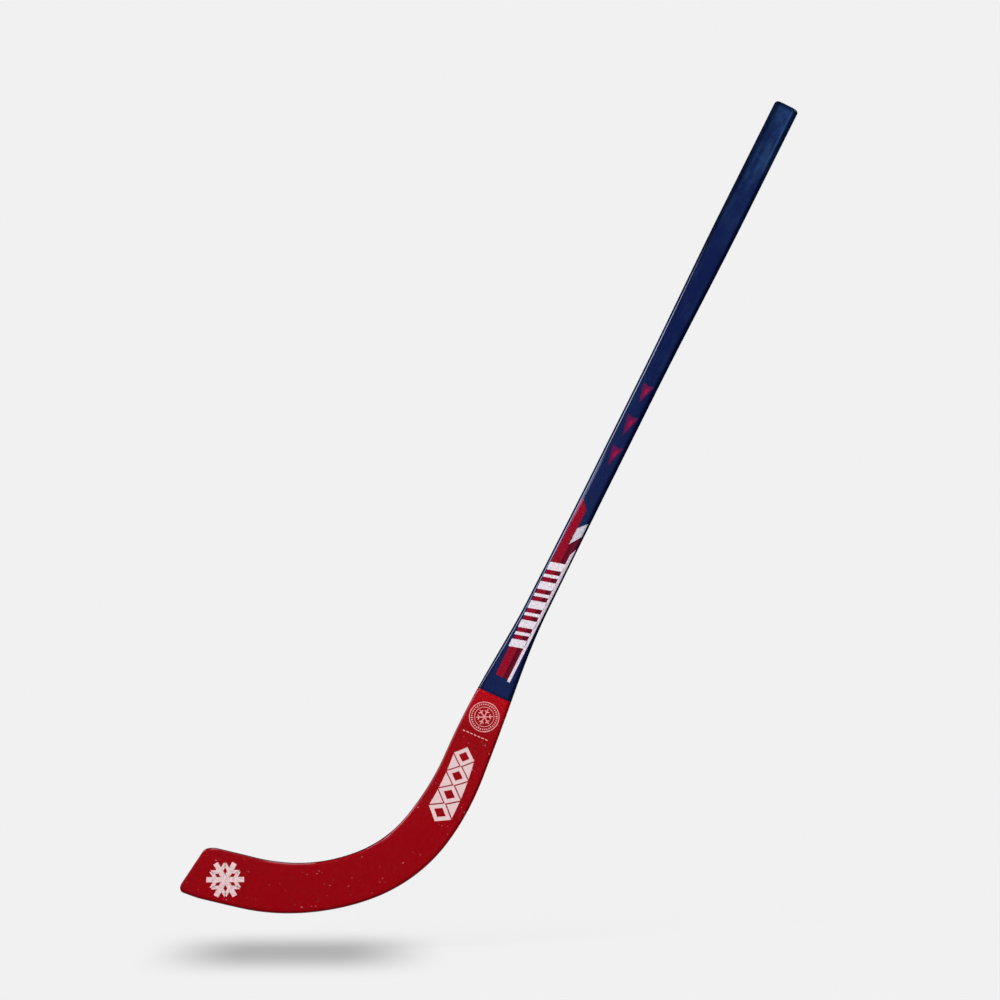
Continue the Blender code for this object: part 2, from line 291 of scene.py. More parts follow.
class Graph:
    def __init__(self, tree):
        self.tree = tree

    def node(self, kind, settings=None, values=None, output=0):
        made = self.tree.nodes.new("ShaderNode" + kind)
        for name, value in (settings or {}).items():
            setattr(made, name, value)
        self.feed(made, values or {})
        return Signal(self, made.outputs[output])

    def feed(self, made, values):
        for name, value in values.items():
            if isinstance(value, Signal):
                self.tree.links.new(value.socket, made.inputs[name])
            else:
                made.inputs[name].default_value = value

    def blend(self, share, first, second, mode="MIX"):
        values = {0: share}
        for place, colour in ((6, first), (7, second)):
            values[place] = colour if isinstance(colour, Signal) else (*colour, 1.0)
        return self.node("Mix", {"data_type": "RGBA", "blend_type": mode}, values, output=2)

    def between(self, value, low, high, first=0.0, last=1.0):  # eased from first to last
        return self.node(
            "MapRange",
            {"interpolation_type": "SMOOTHSTEP"},
            {"Value": value, "From Min": low, "From Max": high, "To Min": first, "To Max": last},
        )

    def until(self, value, low, high):  # eased from 1 to 0
        return self.between(value, low, high, 1.0, 0.0)

    def within(self, *spans):  # a span is a value, where it comes in and where it goes out
        share = 1.0
        for value, comes, goes in spans:
            share = share * self.between(value, *comes) * self.until(value, *goes)
        return share

    def slide(self, share, first, last):  # numbers or signals
        return (last - first) * share + first

    def part(self, vector, output=0):  # 0, 1 and 2 for x, y and z
        return self.node("SeparateXYZ", values={0: vector}, output=output)

    def seen(self):  # 1 for the rays that look at the backdrop
        kinds = ("Is Camera Ray", "Is Glossy Ray", "Is Transmission Ray")
        camera, glossy, through = [self.node("LightPath", output=kind) for kind in kinds]
        return camera.larger(glossy.larger(through))

    def inObject(self):
        return self.node("TexCoord", output=3)

    def noise(self, vector, scale, detail, roughness=0.5):
        values = {"Vector": vector, "Scale": scale, "Detail": detail, "Roughness": roughness}
        return self.node("TexNoise", values=values)

    def stretched(self, vector, scale, turn=(0, 0, 0), shift=(0, 0, 0)):
        turn = tuple(math.radians(angle) for angle in turn)
        values = {"Vector": vector, "Location": shift, "Rotation": turn, "Scale": scale}
        return self.node("Mapping", values=values)

    def grain(self, vector, scale, detail, roughness, turn=(0, 0, 0)):  # a scale for each axis
        return self.noise(self.stretched(vector, scale, turn), 1.0, detail, roughness)


class Finish(Graph):
    def __init__(self, name, **fixed):
        self.material = bpy.data.materials.new(name)
        self.material.use_nodes = True
        super().__init__(self.material.node_tree)
        self.shader = self.tree.nodes["Principled BSDF"]
        self.set(**fixed)

    def set(self, **values):  # Base_Color stands for the socket Base Color
        named = {name.replace("_", " "): value for name, value in values.items()}
        self.feed(self.shader, named)

    def bump(self, height, strength, distance):
        values = {"Height": height, "Strength": strength, "Distance": distance}
        self.set(Normal=self.node("Bump", values=values))

    def map(self, name):
        return self.node("UVMap", {"uv_map": name})

    def sideways(self):  # 1 on the outer side and 0 on the inner one, and how far in from it
        edge = self.map("edge")
        return self.between(self.part(edge), -1.0, 1.0), self.part(edge, 1)

    def lay(self, colour, share, coat, mode="MIX"):  # a coat's colour over what is there
        return self.blend(share * coat.get("share", 1.0), colour, coat["colour"], mode)


weaving = {"drift": (220.0, 1.0), "sway": (0.9, -0.7)}  # a noise, and how it moves warp and weft


def clothHeight(finish, vector, pitch):  # threads over and under, bent a little out of line
    drift = finish.noise(vector, *weaving["drift"]) - 0.5
    warpSway, weftSway = weaving["sway"]
    across = finish.part(vector) + drift * (pitch * warpSway)
    along = finish.part(vector, 1) + drift * (pitch * weftSway)
    wave = 2 * math.pi / pitch
    warp = across.maths("SINE", across * wave)
    weft = along.maths("SINE", along * wave)
    return warp * weft * 0.5 + 0.5


def alongShaft(finish):  # object coordinates, turned until z runs up the shaft
    return finish.stretched(finish.inObject(), (1, 1, 1), (0, -line["lean"], 0))


clear = {"Coat_Weight": 1.0, "Coat_Roughness": 0.06, "Specular_IOR_Level": 0.1}  # over the paint
relief = {"cloth": 0.5, "streak": 0.3, "cloud": 1.5, "strength": 0.22, "depth": 0.00004}

# A noise has its scale, its detail and its roughness. A coat says between which values of a
# noise, or of a place on the skin, it comes in.
blueLacquer = {
    "cloud": ((75, 75, 26), 3.0, 0.65),
    "patch": ((150, 150, 95), 2.0, 0.6),
    "streak": ((900, 45, 1), 2.0, 0.6),
    "pitch": 0.0009,
    # Painted light: upper and lower make the blue lighter down the lower shaft, as the light falls
    # there
    "upper": (0.0045, 0.0120, 0.0725),
    "lower": {"colour": (0.0086, 0.0172, 0.0830), "along": (0.35, 0.45)},
    "bright": {"colour": (0.0095, 0.0260, 0.1000), "cloud": (0.42, 0.74), "share": 0.6},
    # Painted light, broken up by the cloud: lighter and greener over the grip, as the light falls
    # there
    "grip": {
        "colour": (0.0128, 0.0415, 0.1270),
        "until": (0.050, 0.175),
        "cloud": (0.38, 0.62),
        "least": 0.2,
    },
    "butt": {"colour": (0.0130, 0.0420, 0.1300), "until": (0.010, 0.045), "cloud": (0.25, 0.6)},
    "patched": {"colour": (0.016, 0.050, 0.190), "patch": (0.50, 0.66), "share": 0.6},
    "shaded": {"colour": (0.55, 0.6, 0.6), "across": (-0.002, 0.008), "share": 0.4},
    # Painted highlight: a soft light line where the outer bevel starts, near the grip
    "paintedSheen": {
        "colour": (0.034, 0.066, 0.170),
        "inward": 0.0062,
        "half": 0.0013,
        "until": (0.055, 0.085),
        "strength": 0.7,
    },
    "streaked": {"colour": (0.55, 0.55, 0.6), "streak": (0.35, 0.75), "share": 0.35},
    "woven": {"colour": (0.25, 0.3, 0.4), "share": 0.18},
    "edge": {  # painted shade: the share of the colour kept over the long edges and round the butt
        "colour": (0.34, 0.34, 0.40),
        "reach": ((0.0032, 0.0047), (0.0016, 0.0070)),  # in from the inner and the outer side
        "gripReach": ((0.0046, 0.0073), (0.0040, 0.0058)),
        "gripUntil": (0.060, 0.150),
        "butt": (0.0020, 0.0070),
    },
    "roughness": ((0.3, 0.75), (0.20, 0.30)),  # values of the cloud, and what they give
}
redLacquer = {
    "cloud": (24.0, 3.0, 0.55),
    "streak": ((420, 60, 1), 2.0, 0.6, (0, 0, 12)),
    "thread": ((1100, 230, 1), 2.0, 0.6),
    "pitch": 0.0010,
    # Painted light: upper and lower make the red lighter near the colour line and darker towards
    # the toe, as the light from above falls
    "upper": (0.500, 0.0004, 0.0066),
    "lower": {"colour": (0.345, 0.0003, 0.0045), "along": (0.710, 0.762)},
    "deep": {"colour": (0.288, 0.0003, 0.0040), "cloud": (0.45, 0.75), "share": 0.5},
    "streaked": {"colour": (0.62, 0.5, 0.52), "streak": (0.45, 0.8), "share": 0.3},
    "threaded": {"colour": (0.55, 0.5, 0.5), "thread": (0.38, 0.66), "share": 0.30},
    "woven": {"colour": (0.35, 0.2, 0.2), "share": 0.10},
    # Painted shade: darker along the blade's outer edge
    "edge": {"colour": (0.66, 0.62, 0.62), "reach": (0.0005, 0.0055)},
    "specks": {
        "colour": (0.72, 0.38, 0.42),
        "share": 0.8,
        "grain": (400, 210, 1),
        "size": (0.10, 0.26),
        "chance": (0.70, 0.97),
        "groups": (34.0, 2.0),
        "grouped": (0.42, 0.60),
    },
    "roughness": ((0.3, 0.75), (0.20, 0.32)),
}


# Painted light: the ground colour goes from upper to lower along the stick, as the light falls
def groundWithPaintedLight(finish, look, along):
    lower = look["lower"]
    return finish.blend(finish.between(along, *lower["along"]), look["upper"], lower["colour"])


def endLacquer(finish, look, colour, cloth, streak, cloud):
    values, roughness = look["roughness"]
    finish.set(Base_Color=colour, Roughness=finish.between(cloud, *values, *roughness))
    height = cloth * relief["cloth"] + streak * relief["streak"] + cloud * relief["cloud"]
    finish.bump(height, relief["strength"], relief["depth"])
    return finish.material


def makeBlueLacquer(look):
    finish = Finish("blueLacquer", **clear)
    weave = finish.map("weave")
    across, along = finish.part(weave), finish.part(weave, 1)
    outer, inward = finish.sideways()
    turned = alongShaft(finish)
    cloud = finish.grain(turned, *look["cloud"])
    patch = finish.grain(turned, *look["patch"])
    streak = finish.grain(weave, *look["streak"])
    cloth = clothHeight(finish, weave, look["pitch"])

    def near(name, noise):
        return finish.between(noise, *look[name]["cloud"])

    colour = groundWithPaintedLight(finish, look, along)
    colour = finish.lay(colour, near("bright", cloud), look["bright"])
    # Painted light over the grip, broken up by the cloud
    grip = finish.until(along, *look["grip"]["until"])
    clouded = finish.slide(near("grip", cloud), look["grip"]["least"], 1.0)
    colour = finish.lay(colour, grip * clouded, look["grip"])
    butt = finish.until(along, *look["butt"]["until"])
    colour = finish.lay(colour, butt * near("butt", cloud), look["butt"])
    patched = grip * finish.between(patch, *look["patched"]["patch"])
    colour = finish.lay(colour, patched, look["patched"])
    shaded = grip * finish.between(across, *look["shaded"]["across"])
    colour = finish.lay(colour, shaded, look["shaded"], "MULTIPLY")
    # Painted highlight along the outer bevel near the grip
    paintedSheen = look["paintedSheen"]
    shown = finish.until((inward - paintedSheen["inward"]).size(), 0.0, paintedSheen["half"]) * outer
    shown = shown * finish.between(along, *paintedSheen["until"], paintedSheen["strength"], 0.0)
    colour = finish.lay(colour, shown, paintedSheen)
    streaked = finish.between(streak, *look["streaked"]["streak"])
    colour = finish.lay(colour, streaked, look["streaked"], "SOFT_LIGHT")
    colour = finish.lay(colour, 1 - cloth, look["woven"], "MULTIPLY")
    # Painted shade: darker over the long edges, wider at the grip, and round the butt's end
    edge = look["edge"]
    held = finish.until(along, *edge["gripUntil"])
    reach = []
    for plain, gripped in zip(zip(*edge["reach"]), zip(*edge["gripReach"])):
        reach.append(finish.slide(held, finish.slide(outer, *plain), finish.slide(outer, *gripped)))
    colour = finish.lay(colour, finish.until(inward, *reach), edge, "MULTIPLY")
    colour = finish.lay(colour, finish.until(along, *edge["butt"]), edge, "MULTIPLY")
    return endLacquer(finish, look, colour, cloth, streak, cloud)


def makeRedLacquer(look):
    finish = Finish("redLacquer", **clear)
    weave = finish.map("weave")
    outer, inward = finish.sideways()
    cloud = finish.noise(finish.inObject(), *look["cloud"])
    streak = finish.grain(weave, *look["streak"])
    thread = finish.grain(weave, *look["thread"])
    cloth = clothHeight(finish, weave, look["pitch"])
    colour = groundWithPaintedLight(finish, look, finish.part(weave, 1))
    colour = finish.lay(colour, finish.between(cloud, *look["deep"]["cloud"]), look["deep"])
    streaked = finish.between(streak, *look["streaked"]["streak"])
    colour = finish.lay(colour, streaked, look["streaked"], "SOFT_LIGHT")
    threaded = finish.between(thread, *look["threaded"]["thread"])
    colour = finish.lay(colour, threaded, look["threaded"], "MULTIPLY")
    colour = finish.lay(colour, 1 - cloth, look["woven"], "MULTIPLY")
    # Painted shade along the blade's outer edge
    edge = look["edge"]
    colour = finish.lay(colour, finish.until(inward, *edge["reach"]) * outer, edge, "MULTIPLY")
    specks = look["specks"]
    cells = {"Vector": finish.stretched(weave, specks["grain"]), "Scale": 1.0}
    far, tint = [finish.node("TexVoronoi", values=cells, output=output) for output in (0, 1)]
    chance = finish.node("SeparateColor", values={0: tint})
    groups = finish.between(finish.noise(weave, *specks["groups"]), *specks["grouped"])
    shown = finish.until(far, *specks["size"]) * finish.between(chance, *specks["chance"]) * groups
    colour = finish.lay(colour, shown, specks)
    return endLacquer(finish, look, colour, cloth, streak, cloud)


blueSkin = makeBlueLacquer(blueLacquer)
redSkin = makeRedLacquer(redLacquer)

inks = {
    "white": {"pale": (0.94, 0.88, 0.96), "shade": (0.58, 0.50, 0.58), "patch": 0.0022},
    "lineWhite": {"pale": (0.92, 0.80, 0.93), "shade": (0.60, 0.50, 0.60), "patch": 0.0022},
    "flashWhite": {"pale": (0.72, 0.70, 0.78), "shade": (0.42, 0.41, 0.47), "patch": 0.0022},
    "whiteOnRed": {"pale": (0.95, 0.74, 0.75), "shade": (0.64, 0.38, 0.40), "patch": 0.0024},
    "fineOnRed": {"pale": (0.96, 0.47, 0.46), "shade": (0.66, 0.22, 0.23), "patch": 0.0024},
    "stripeRed": {
        "pale": (0.320, 0.0018, 0.019),
        "shade": (0.240, 0.0018, 0.017),
        "patch": 0.0016,
    },
    "maroon": {
        "pale": (0.150, 0.0060, 0.021),
        "shade": (0.105, 0.0040, 0.016),
        "patch": 0.0016,
        "line": {"colour": (0.100, 0.0010, 0.0105), "at": (0.0014, 0.0042), "share": 0.8},
    },
}
inking = {
    "mottle": (3.0, 0.65),  # detail and roughness
    "mottled": (0.38, 0.66),
    "share": 0.8,
    "pitch": 0.0010,
    "woven": 0.12,
    "lineSoft": 0.0004,
    "roughness": ((0.3, 0.7), (0.22, 0.34)),
    "relief": 0.5,
    "strength": 0.2,
}


def makeInk(name, look):
    finish = Finish(name + "Ink", **clear)
    weave = finish.map("weave")
    mottle = finish.noise(weave, 1 / look["patch"], *inking["mottle"])
    cloth = clothHeight(finish, weave, inking["pitch"])
    mottled = finish.between(mottle, *inking["mottled"]) * inking["share"]
    colour = finish.blend(mottled, look["pale"], look["shade"])
    colour = finish.blend((1 - cloth) * inking["woven"], colour, look["shade"])
    if "line" in look:  # a darker line along the stripe
        sides = [(at - inking["lineSoft"], at + inking["lineSoft"]) for at in look["line"]["at"]]
        colour = finish.lay(colour, finish.within((finish.part(weave), *sides)), look["line"])
    values, roughness = inking["roughness"]
    finish.set(Base_Color=colour, Roughness=finish.between(mottle, *values, *roughness))
    height = cloth * inking["relief"] + mottle * inking["relief"]
    finish.bump(height, inking["strength"], relief["depth"])
    return finish.material


ink = {name: makeInk(name, look) for name, look in inks.items()}

dartInk = {
    "crimson": (0.385, 0.0040, 0.040),
    "purple": (0.120, 0.0065, 0.066),
    "bare": (0.0070, 0.0145, 0.0760),
    "heart": (((0.15, 0.70), (0.60, 0.95)), ((0.0, 0.30), (0.25, 0.80))),  # across and along
    "inked": (((-0.04, 0.10), (0.90, 1.06)), ((-0.04, 0.06), (0.70, 1.05))),
    "mottle": (700.0, 3.0, 0.6),
    "mottled": 0.3,
    "heartFrom": 0.05,
    "roughness": ((0.3, 0.7), (0.22, 0.32)),
    "strength": 0.15,
}


def makeDartInk(look):  # crimson at its heart, purple round it and bare at the rim
    finish = Finish("dartInk", **clear)
    places = [finish.part(finish.map("fade"), axis) for axis in (0, 1)]
    mottle = finish.noise(finish.map("weave"), *look["mottle"])
    heart, inked = [
        finish.within(*((place, *span) for place, span in zip(places, look[name])))
        for name in ("heart", "inked")
    ]
    colour = finish.blend(inked, look["bare"], look["purple"])
    hearty = finish.between(heart + (mottle - 0.5) * look["mottled"], look["heartFrom"], 1.0)
    colour = finish.blend(hearty, colour, look["crimson"])
    values, roughness = look["roughness"]
    finish.set(Base_Color=colour, Roughness=finish.between(mottle, *values, *roughness))
    finish.bump(mottle, look["strength"], relief["depth"])
    return finish.material


dartFinish = makeDartInk(dartInk)
print("lacquers and inks made")


def newObject(name, bm, finish):
    mesh = bpy.data.meshes.new(name)
    bm.to_mesh(mesh)
    bm.free()
    made = bpy.data.objects.new(name, mesh)
    scene.collection.objects.link(made)
    mesh.materials.append(finish)
    return made


def newPiece(name, bm, finish, slot):
    piece = newObject(name, bm, finish)
    piece.data.shade_smooth()
    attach(piece, "root")
    return piece


skins = {
    "merge": 0.000002,
    "capReach": 0.08,  # what belongs to an end's rim
    "capInset": 0.0004,
    "capPlace": 0.02,  # an end is coloured as the wall is this far in
}


def makeSkin(name, rings, capAt, finish, slot, node):
    bm = bmesh.new()
    weave = bm.loops.layers.uv.new("weave")
    edge = bm.loops.layers.uv.new("edge")
    columns, rows = len(rings[0]), len(rings)
    sheet = {"x_segments": columns - 1, "y_segments": rows - 1, "size": 1.0}
    made = bmesh.ops.create_grid(bm, **sheet)["verts"]
    middle = columns // 2
    spot = {}
    for row, ring in enumerate(rings):
        lengths = [0.0]
        for here, there in zip(ring, ring[1:]):
            lengths.append(lengths[-1] + (there[0] - here[0]).length)
        for column, (point, place, sideways) in enumerate(ring):
            vert = made[row * columns + column]
            vert.co = point
            spot[vert] = ((lengths[column] - lengths[middle], place), sideways)
    for face in bm.faces:
        for loop in face.loops:
            loop[weave].uv, loop[edge].uv = spot[loop.vert]
    bmesh.ops.remove_doubles(bm, verts=bm.verts, dist=skins["merge"])
    endPoint, endPlace, sideways = rings[capAt][0]

    def atEnd(vert):
        return (vert.co - endPoint).length < skins["capReach"]

    rim = [rung for rung in bm.edges if rung.is_boundary and all(map(atEnd, rung.verts))]
    walls = set(bm.faces)
    cap = bmesh.ops.contextual_create(bm, geom=rim)["faces"]
    bmesh.ops.inset_individual(bm, faces=cap, thickness=skins["capInset"], depth=0.0)
    for face in set(bm.faces) - walls:
        for loop in face.loops:
            loop[weave].uv = (loop.vert.co.x, abs(endPlace - skins["capPlace"]) + loop.vert.co.y)
            loop[edge].uv = (0.0, skins["capPlace"])
    bmesh.ops.recalc_face_normals(bm, faces=bm.faces)
    bm.normal_update()
    foremost = min(bm.faces, key=lambda face: face.calc_center_median().y)
    if foremost.normal.y > 0:
        bmesh.ops.reverse_faces(bm, faces=bm.faces)
    bm.normal_update()
    tree = BVHTree.FromBMesh(bm)
    piece = newPiece(name, bm, finish, slot)
    wall = piece.modifiers.new("wall", "SOLIDIFY")
    wall.thickness = body["skin"]
    wall.offset = -1.0
    wall.use_even_offset = True
    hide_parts(node)
    return tree


shaftRings = list(buttRings())
places = placesBetween(body["buttRounding"], body["colourLine"] - body["seam"])
shaftRings += [crossSection(place) for place in places[1:]]
shaftTree = makeSkin("shaftSkin", shaftRings, 0, blueSkin, "blue_lacquer", "shaft_skin")

toeFrom = toe - body["tipLift"][1] / math.cos(math.radians(body["toeRake"]))
places = placesBetween(body["colourLine"] + body["seam"], toeFrom)
bladeRings = [crossSection(place, toeSlant(place)) for place in places[:-1]] + list(toeRings())
bladeTree = makeSkin("bladeSock", bladeRings, -1, redSkin, "red_lacquer", "blade_sock")
print("skins made,", len(shaftRings), "and", len(bladeRings), "rings")


# Prints lie on the front: each spot is measured across the stick and along it from the butt
buttPoint, shaftHeading = spine(0.0)
down = Vector((math.cos(shaftHeading), math.sin(shaftHeading)))
outward = Vector((-down.y, down.x))
prints = {
    "ink": 0.00006,  # thickness
    "lift": 0.00010,  # of its outside, above the skin
    "liftOver": 0.00018,  # where it crosses another print
    "front": -0.1,  # y in front of the stick
    "merge": 0.000005,
    "sharp": 40,
}


def onShaft(across, along):
    return buttPoint + along * down + across * outward


def onBlade(across, along):
    return plan(along, across)


def flatGrid(bm, corners, cuts):  # four corners as (across, along), first two at the butt's side
    sheet = {"x_segments": cuts[0], "y_segments": cuts[1], "size": 0.5}
    made = bmesh.ops.create_grid(bm, **sheet)["verts"]
    a, b, c, d = [Vector(corner) for corner in corners]
    for vert in made:
        x, y = vert.co.x + 0.5, vert.co.y + 0.5
        spot = (a * (1 - x) + b * x) * (1 - y) + (c * (1 - x) + d * x) * y
        vert.co = (spot.x, spot.y, 0.0)
    return made


def layPrint(name, bm, finish, slot, tree, where=onShaft, lift=prints["lift"]):
    weave = bm.loops.layers.uv.get("weave") or bm.loops.layers.uv.new("weave")
    for face in bm.faces:
        for loop in face.loops:
            loop[weave].uv = loop.vert.co.xy
    for vert in bm.verts:
        spot = where(vert.co.x, vert.co.y)
        ahead = Vector((spot.x, prints["front"], spot.y))
        hit, normal = tree.ray_cast(ahead, Vector((0, 1, 0)))[:2]
        if hit is None:
            raise ValueError(f"{name} runs off the skin at {spot}")
        vert.co = hit + normal * lift
    bmesh.ops.remove_doubles(bm, verts=bm.verts, dist=prints["merge"])
    bm.normal_update()
    bmesh.ops.reverse_faces(bm, faces=[face for face in bm.faces if face.normal.y > 0])
    bm.normal_update()
    backs = bmesh.ops.extrude_face_region(bm, geom=bm.faces[:], use_keep_orig=True)["geom"]
    for vert in backs:
        if isinstance(vert, bmesh.types.BMVert):
            vert.co -= prints["ink"] * vert.normal
    bmesh.ops.recalc_face_normals(bm, faces=bm.faces)
    piece = newPiece(name, bm, finish, slot)
    piece.data.set_sharp_from_angle(angle=math.radians(prints["sharp"]))


stripes = {
    "redStripe": {
        "corners": ((-0.0092, 0.4785), (0.0008, 0.4903), (-0.0077, 0.6926), (0.0008, 0.6926)),
        "cuts": (12, 40),
        "ink": "stripeRed",
        "slot": "red_lacquer",
        "lift": prints["lift"],
    },
    "maroonStripe": {
        "corners": ((0.0008, 0.5312), (0.0096, 0.5182), (0.0008, 0.6926), (0.0078, 0.6926)),
        "cuts": (14, 34),
        "ink": "maroon",
        "slot": "red_lacquer",
        "lift": prints["lift"],
    },
    "whiteLine": {
        "corners": ((0.0068, 0.5412), (0.0099, 0.5333), (0.0068, 0.6943), (0.0100, 0.6943)),
        "cuts": (6, 34),
        "ink": "lineWhite",
        "slot": "white_print",
        "lift": prints["liftOver"],
    },
    "whiteFlash": {
        "corners": ((0.0007, 0.5121), (0.0093, 0.5026), (0.0000, 0.5321), (0.0093, 0.5182)),
        "cuts": (16, 6),
        "ink": "flashWhite",
        "slot": "white_print",
        "lift": prints["lift"],
    },
}
for name, look in stripes.items():
    bm = bmesh.new()
    flatGrid(bm, look["corners"], look["cuts"])
    layPrint(name, bm, ink[look["ink"]], look["slot"], shaftTree, lift=look["lift"])

blocks = {
    "from": 0.5525,
    "lengths": (0.0090, 0.0036) * 4 + (0.0090,),
    "gap": 0.0053,
    "across": (-0.0090, 0.0080),
    "slant": 0.0049,
    "cuts": (26, 3),
}
bm = bmesh.new()
low, high = blocks["across"]
head = blocks["from"]
slant = blocks["slant"]
for length in blocks["lengths"]:
    tail = head + length
    corners = ((low, head + slant), (high, head), (low, tail + slant), (high, tail))
    flatGrid(bm, corners, blocks["cuts"])
    head = tail + blocks["gap"]
layPrint("whiteBlocks", bm, ink["white"], "white_print", shaftTree, lift=prints["liftOver"])

darts = {
    "at": ((0.3379, 0.3617), (0.3758, 0.4019), (0.4127, 0.4377)),
    "across": (-0.0058, 0.0074),
    "point": -0.0002,
    "notch": 0.0017,
    "cuts": (12, 10),
}
bm = bmesh.new()
fade = bm.loops.layers.uv.new("fade")
low, high = darts["across"]
for head, tip in darts["at"]:
    made = flatGrid(bm, ((0.0, 0.0), (1.0, 0.0), (0.0, 1.0), (1.0, 1.0)), darts["cuts"])
    for face in {face for vert in made for face in vert.link_faces}:
        for loop in face.loops:
            loop[fade].uv = loop.vert.co.xy
    for vert in made:
        over, fall = vert.co.x, vert.co.y
        wide = low + (high - low) * over
        notch = darts["notch"] * (1 - abs(2 * over - 1)) * (1 - fall)
        across = wide + (darts["point"] - wide) * fall
        vert.co = (across, head + (tip - head) * fall + notch, 0.0)
layPrint("darts", bm, dartFinish, "red_lacquer", shaftTree)
print("shaft prints laid")


def ringBand(bm, centre, inner, outer, steps, turn=(0.0, 360.0)):  # a flat ring, or part of one
    made = bmesh.ops.create_grid(bm, x_segments=steps, y_segments=1, size=0.5)["verts"]
    for vert in made:
        angle = math.radians(turn[0] + (turn[1] - turn[0]) * (vert.co.x + 0.5))
        reach = inner + (outer - inner) * (vert.co.y + 0.5)
        across, along = reach * math.cos(angle), reach * math.sin(angle)
        vert.co = (centre[0] + across, centre[1] + along, 0.0)


def snowflake(bm, centre, look):
    half, reach = look["armWidth"] / 2, look["reach"]
    low, high = look["branch"]
    hub = bmesh.ops.create_circle(bm, cap_ends=True, segments=6, radius=2 * half)["verts"]
    for vert in hub:
        vert.co += Vector((*centre, 0.0))
    root = half * math.sqrt(3)
    branching = math.radians(60)
    for number in range(6):
        angle = math.radians(60 * number + 30 + look["turn"])
        ahead = Vector((math.cos(angle), math.sin(angle)))
        aside = Vector((-math.sin(angle), math.cos(angle)))

        def patch(spots):
            flatGrid(bm, [Vector(centre) + aside * x + ahead * y for x, y in spots], (1, 2))

        for first, last in ((root, low), (low, high), (high, reach)):
            patch(((-half, first), (half, first), (-half, last), (half, last)))
        for side in (-1, 1):
            out = look["branchReach"] * Vector((side * math.sin(branching), math.cos(branching)))
            edge = side * half
            ends = ((edge + out.x, low + out.y), (edge + out.x, high + out.y))
            patch(((edge, low), (edge, high), *ends))


seal = {
    "centre": (-0.0006, 0.7398),
    "rings": ((0.0156, 0.0165), (0.0103, 0.0109)),
    "steps": 72,
    "ticks": {
        "count": 36,
        "from": 0.0128,
        "to": 0.0144,
        "width": 5.0,
        "turn": 4.0,
        "long": {"from": 0.0120, "first": 3, "every": 6},
    },
    "flake": {
        "armWidth": 0.0011,
        "reach": 0.0090,
        "branch": (0.0051, 0.0062),
        "branchReach": 0.0025,
        "turn": 4.0,
    },
}
bm = bmesh.new()
for inner, outer in seal["rings"]:
    ringBand(bm, seal["centre"], inner, outer, seal["steps"])
ticks = seal["ticks"]
for number in range(ticks["count"]):
    middle = 360.0 * number / ticks["count"] + ticks["turn"]
    half = ticks["width"] / 2
    isLong = number % ticks["long"]["every"] == ticks["long"]["first"]
    start = ticks["long"]["from"] if isLong else ticks["from"]
    ringBand(bm, seal["centre"], start, ticks["to"], 1, (middle - half, middle + half))
snowflake(bm, seal["centre"], seal["flake"])
layPrint("seal", bm, ink["fineOnRed"], "white_print", bladeTree, onBlade)

rule = {
    "along": 0.7618,
    "across": (-0.0162, 0.0128),
    "dashes": 7,
    "gap": 0.0016,
    "height": 0.0011,
    "cuts": (4, 1),
}
bm = bmesh.new()
low, high = rule["across"]
dash = (high - low + rule["gap"]) / rule["dashes"]
top, foot = rule["along"] - rule["height"] / 2, rule["along"] + rule["height"] / 2
for number in range(rule["dashes"]):
    head = low + number * dash
    tail = head + dash - rule["gap"]
    flatGrid(bm, ((head, top), (tail, top), (head, foot), (tail, foot)), rule["cuts"])
layPrint("dashedRule", bm, ink["fineOnRed"], "white_print", bladeTree, onBlade)

# A chain of hollow lozenges with teeth in its notches, wider towards the toe
band = {
    "along": (0.7770, 0.8650),
    "middle": (-0.0042, 0.0010),  # at either end
    "half": (0.0114, 0.0148),
    "count": 4,
    "hollow": 0.52,
    "gap": 0.16,  # between lozenge and tooth, as a share of the half width
    "cuts": (8, 4),
    "toothCuts": (6, 6),
}


def onBand(x, y):  # x from side to side, -1 to 1, and y from end to end, 0 to 1
    (first, last), (low, high), (narrow, wide) = band["along"], band["middle"], band["half"]
    across = low + (high - low) * y + x * (narrow + (wide - narrow) * y)
    return onBlade(across, first + (last - first) * y)


bm = bmesh.new()
tall = 0.5 / band["count"]
for number in range(band["count"]):
    middle = Vector((0.0, (2 * number + 1) * tall))
    tips = [Vector(tip) for tip in ((0.0, -tall), (1.0, 0.0), (0.0, tall), (-1.0, 0.0))]
    for here, there in zip(tips, tips[1:] + tips[:1]):
        outer = (middle + here, middle + there)
        inner = (middle + here * band["hollow"], middle + there * band["hollow"])
        flatGrid(bm, (*outer, *inner), band["cuts"])
half = tall * (1 - band["gap"])
for number in range(1, band["count"]):
    at = 2 * number * tall
    for side in (-1, 1):
        apex = (side * band["gap"], at)
        flatGrid(bm, ((side, at - half), apex, (side, at + half), apex), band["toothCuts"])
layPrint("lozengeBand", bm, ink["whiteOnRed"], "white_print", bladeTree, onBand)

toeFlake = {
    "centre": (0.0018, 1.1159),
    "armWidth": 0.0056,
    "reach": 0.0205,
    "branch": (0.0092, 0.0136),
    "branchReach": 0.0066,
    "turn": -14.0,
}
bm = bmesh.new()
snowflake(bm, toeFlake["centre"], toeFlake)
layPrint("toeFlake", bm, ink["whiteOnRed"], "white_print", bladeTree, onBlade)
print("blade prints laid")


